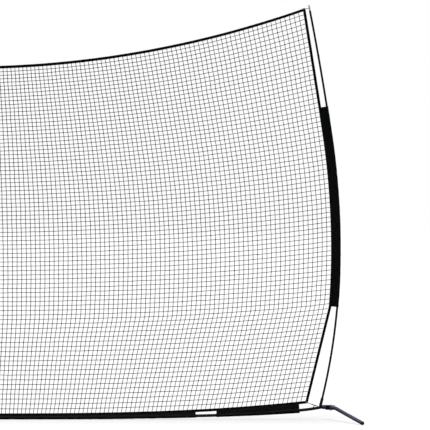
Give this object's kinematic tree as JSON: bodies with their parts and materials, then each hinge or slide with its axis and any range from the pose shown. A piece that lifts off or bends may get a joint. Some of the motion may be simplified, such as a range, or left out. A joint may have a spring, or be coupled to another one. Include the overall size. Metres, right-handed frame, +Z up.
{
  "type": "pitch back rebounder",
  "caption": "Wide free-standing rebound net on a curved tube base, held by two bent side poles, with swivelling front legs.",
  "frame": {"origin": "middle of the footprint, on the ground", "axes": "+X to the right along the base as seen from the front, -Y to the front where the legs point, +Z up"},
  "size_m": [6.841, 0.4404, 3.5484],
  "materials": {
    "black_tube": "satin powder coat",
    "hub_paint": "satin powder coat",
    "leg_paint": "satin powder coat",
    "pole_fibre": "smooth, slightly glossy",
    "tip_metal": "bare, lightly brushed",
    "zinc_steel": "zinc plated",
    "grey_steel": "dull dark plating",
    "black_plastic": "moulded",
    "net_cord": "knotted twine",
    "webbing": "woven webbing",
    "sleeve_fabric": "coated woven polyester",
    "elastic_cord": "braided elastic"
  },
  "bodies": {
    "frame": {"base_middle_tube": "black_tube", "base_inner_tube_left": "black_tube", "base_inner_tube_right": "black_tube", "base_outer_tube_left": "black_tube", "base_outer_tube_right": "black_tube", "base_end_tube_left": "black_tube", "base_end_tube_right": "black_tube", "base_joint_plugs": "zinc_steel", "snap_spring_left": "zinc_steel", "snap_spring_right": "zinc_steel", "pole_socket_left": "black_tube", "pole_socket_right": "black_tube", "base_hooks": "grey_steel", "foot_hub_left": "hub_paint", "foot_hub_right": "hub_paint", "hub_caps": "black_plastic", "pivot_bolts": "zinc_steel", "pivot_nuts": "zinc_steel", "pole_lower_left": "pole_fibre", "pole_lower_right": "pole_fibre", "pole_middle_left": "pole_fibre", "pole_middle_right": "pole_fibre", "pole_upper_left": "pole_fibre", "pole_upper_right": "pole_fibre", "pole_spigots": "tip_metal", "pole_tip_left": "tip_metal", "pole_tip_right": "tip_metal", "net_panel": "net_cord", "top_webbing": "webbing", "bottom_webbing": "webbing", "side_webbing_left": "webbing", "side_webbing_right": "webbing", "side_sleeve_left": "sleeve_fabric", "side_sleeve_right": "sleeve_fabric", "base_sleeve_middle": "sleeve_fabric", "base_sleeve_left": "sleeve_fabric", "base_sleeve_right": "sleeve_fabric", "corner_grommets": "grey_steel", "top_elastic_left": "elastic_cord", "top_elastic_right": "elastic_cord", "bottom_elastic_left": "elastic_cord", "bottom_elastic_right": "elastic_cord"},
    "left_leg": {"foot_leg_left": "leg_paint", "leg_bush_left": "zinc_steel", "leg_plug_left": "black_plastic", "leg_tip_left": "black_plastic"},
    "left_button": {"snap_button_left": "zinc_steel"},
    "right_leg": {"foot_leg_right": "leg_paint", "leg_bush_right": "zinc_steel", "leg_plug_right": "black_plastic", "leg_tip_right": "black_plastic"},
    "right_button": {"snap_button_right": "zinc_steel"}
  },
  "joints": [
    {"name": "left_leg_swing", "type": "hinge", "parent": "frame", "child": "left_leg", "pos_m": [-3.165, 0.16471, 0.10678], "axis": [0, 0, 1], "range_deg": [0, 115]},
    {"name": "left_button_press", "type": "slide", "parent": "frame", "child": "left_button", "axis": [-0.0279, 0.0349, -0.999], "range_m": [0, 0.0047], "stiffness_N_per_m": 800, "springref_m": -0.001, "deforming": ["snap_spring_left"]},
    {"name": "right_leg_swing", "type": "hinge", "parent": "frame", "child": "right_leg", "pos_m": [3.165, 0.16471, 0.10678], "axis": [0, 0, -1], "range_deg": [0, 115]},
    {"name": "right_button_press", "type": "slide", "parent": "frame", "child": "right_button", "axis": [0.0279, 0.0349, -0.999], "range_m": [0, 0.0047], "stiffness_N_per_m": 800, "springref_m": -0.001, "deforming": ["snap_spring_right"]}
  ]
}
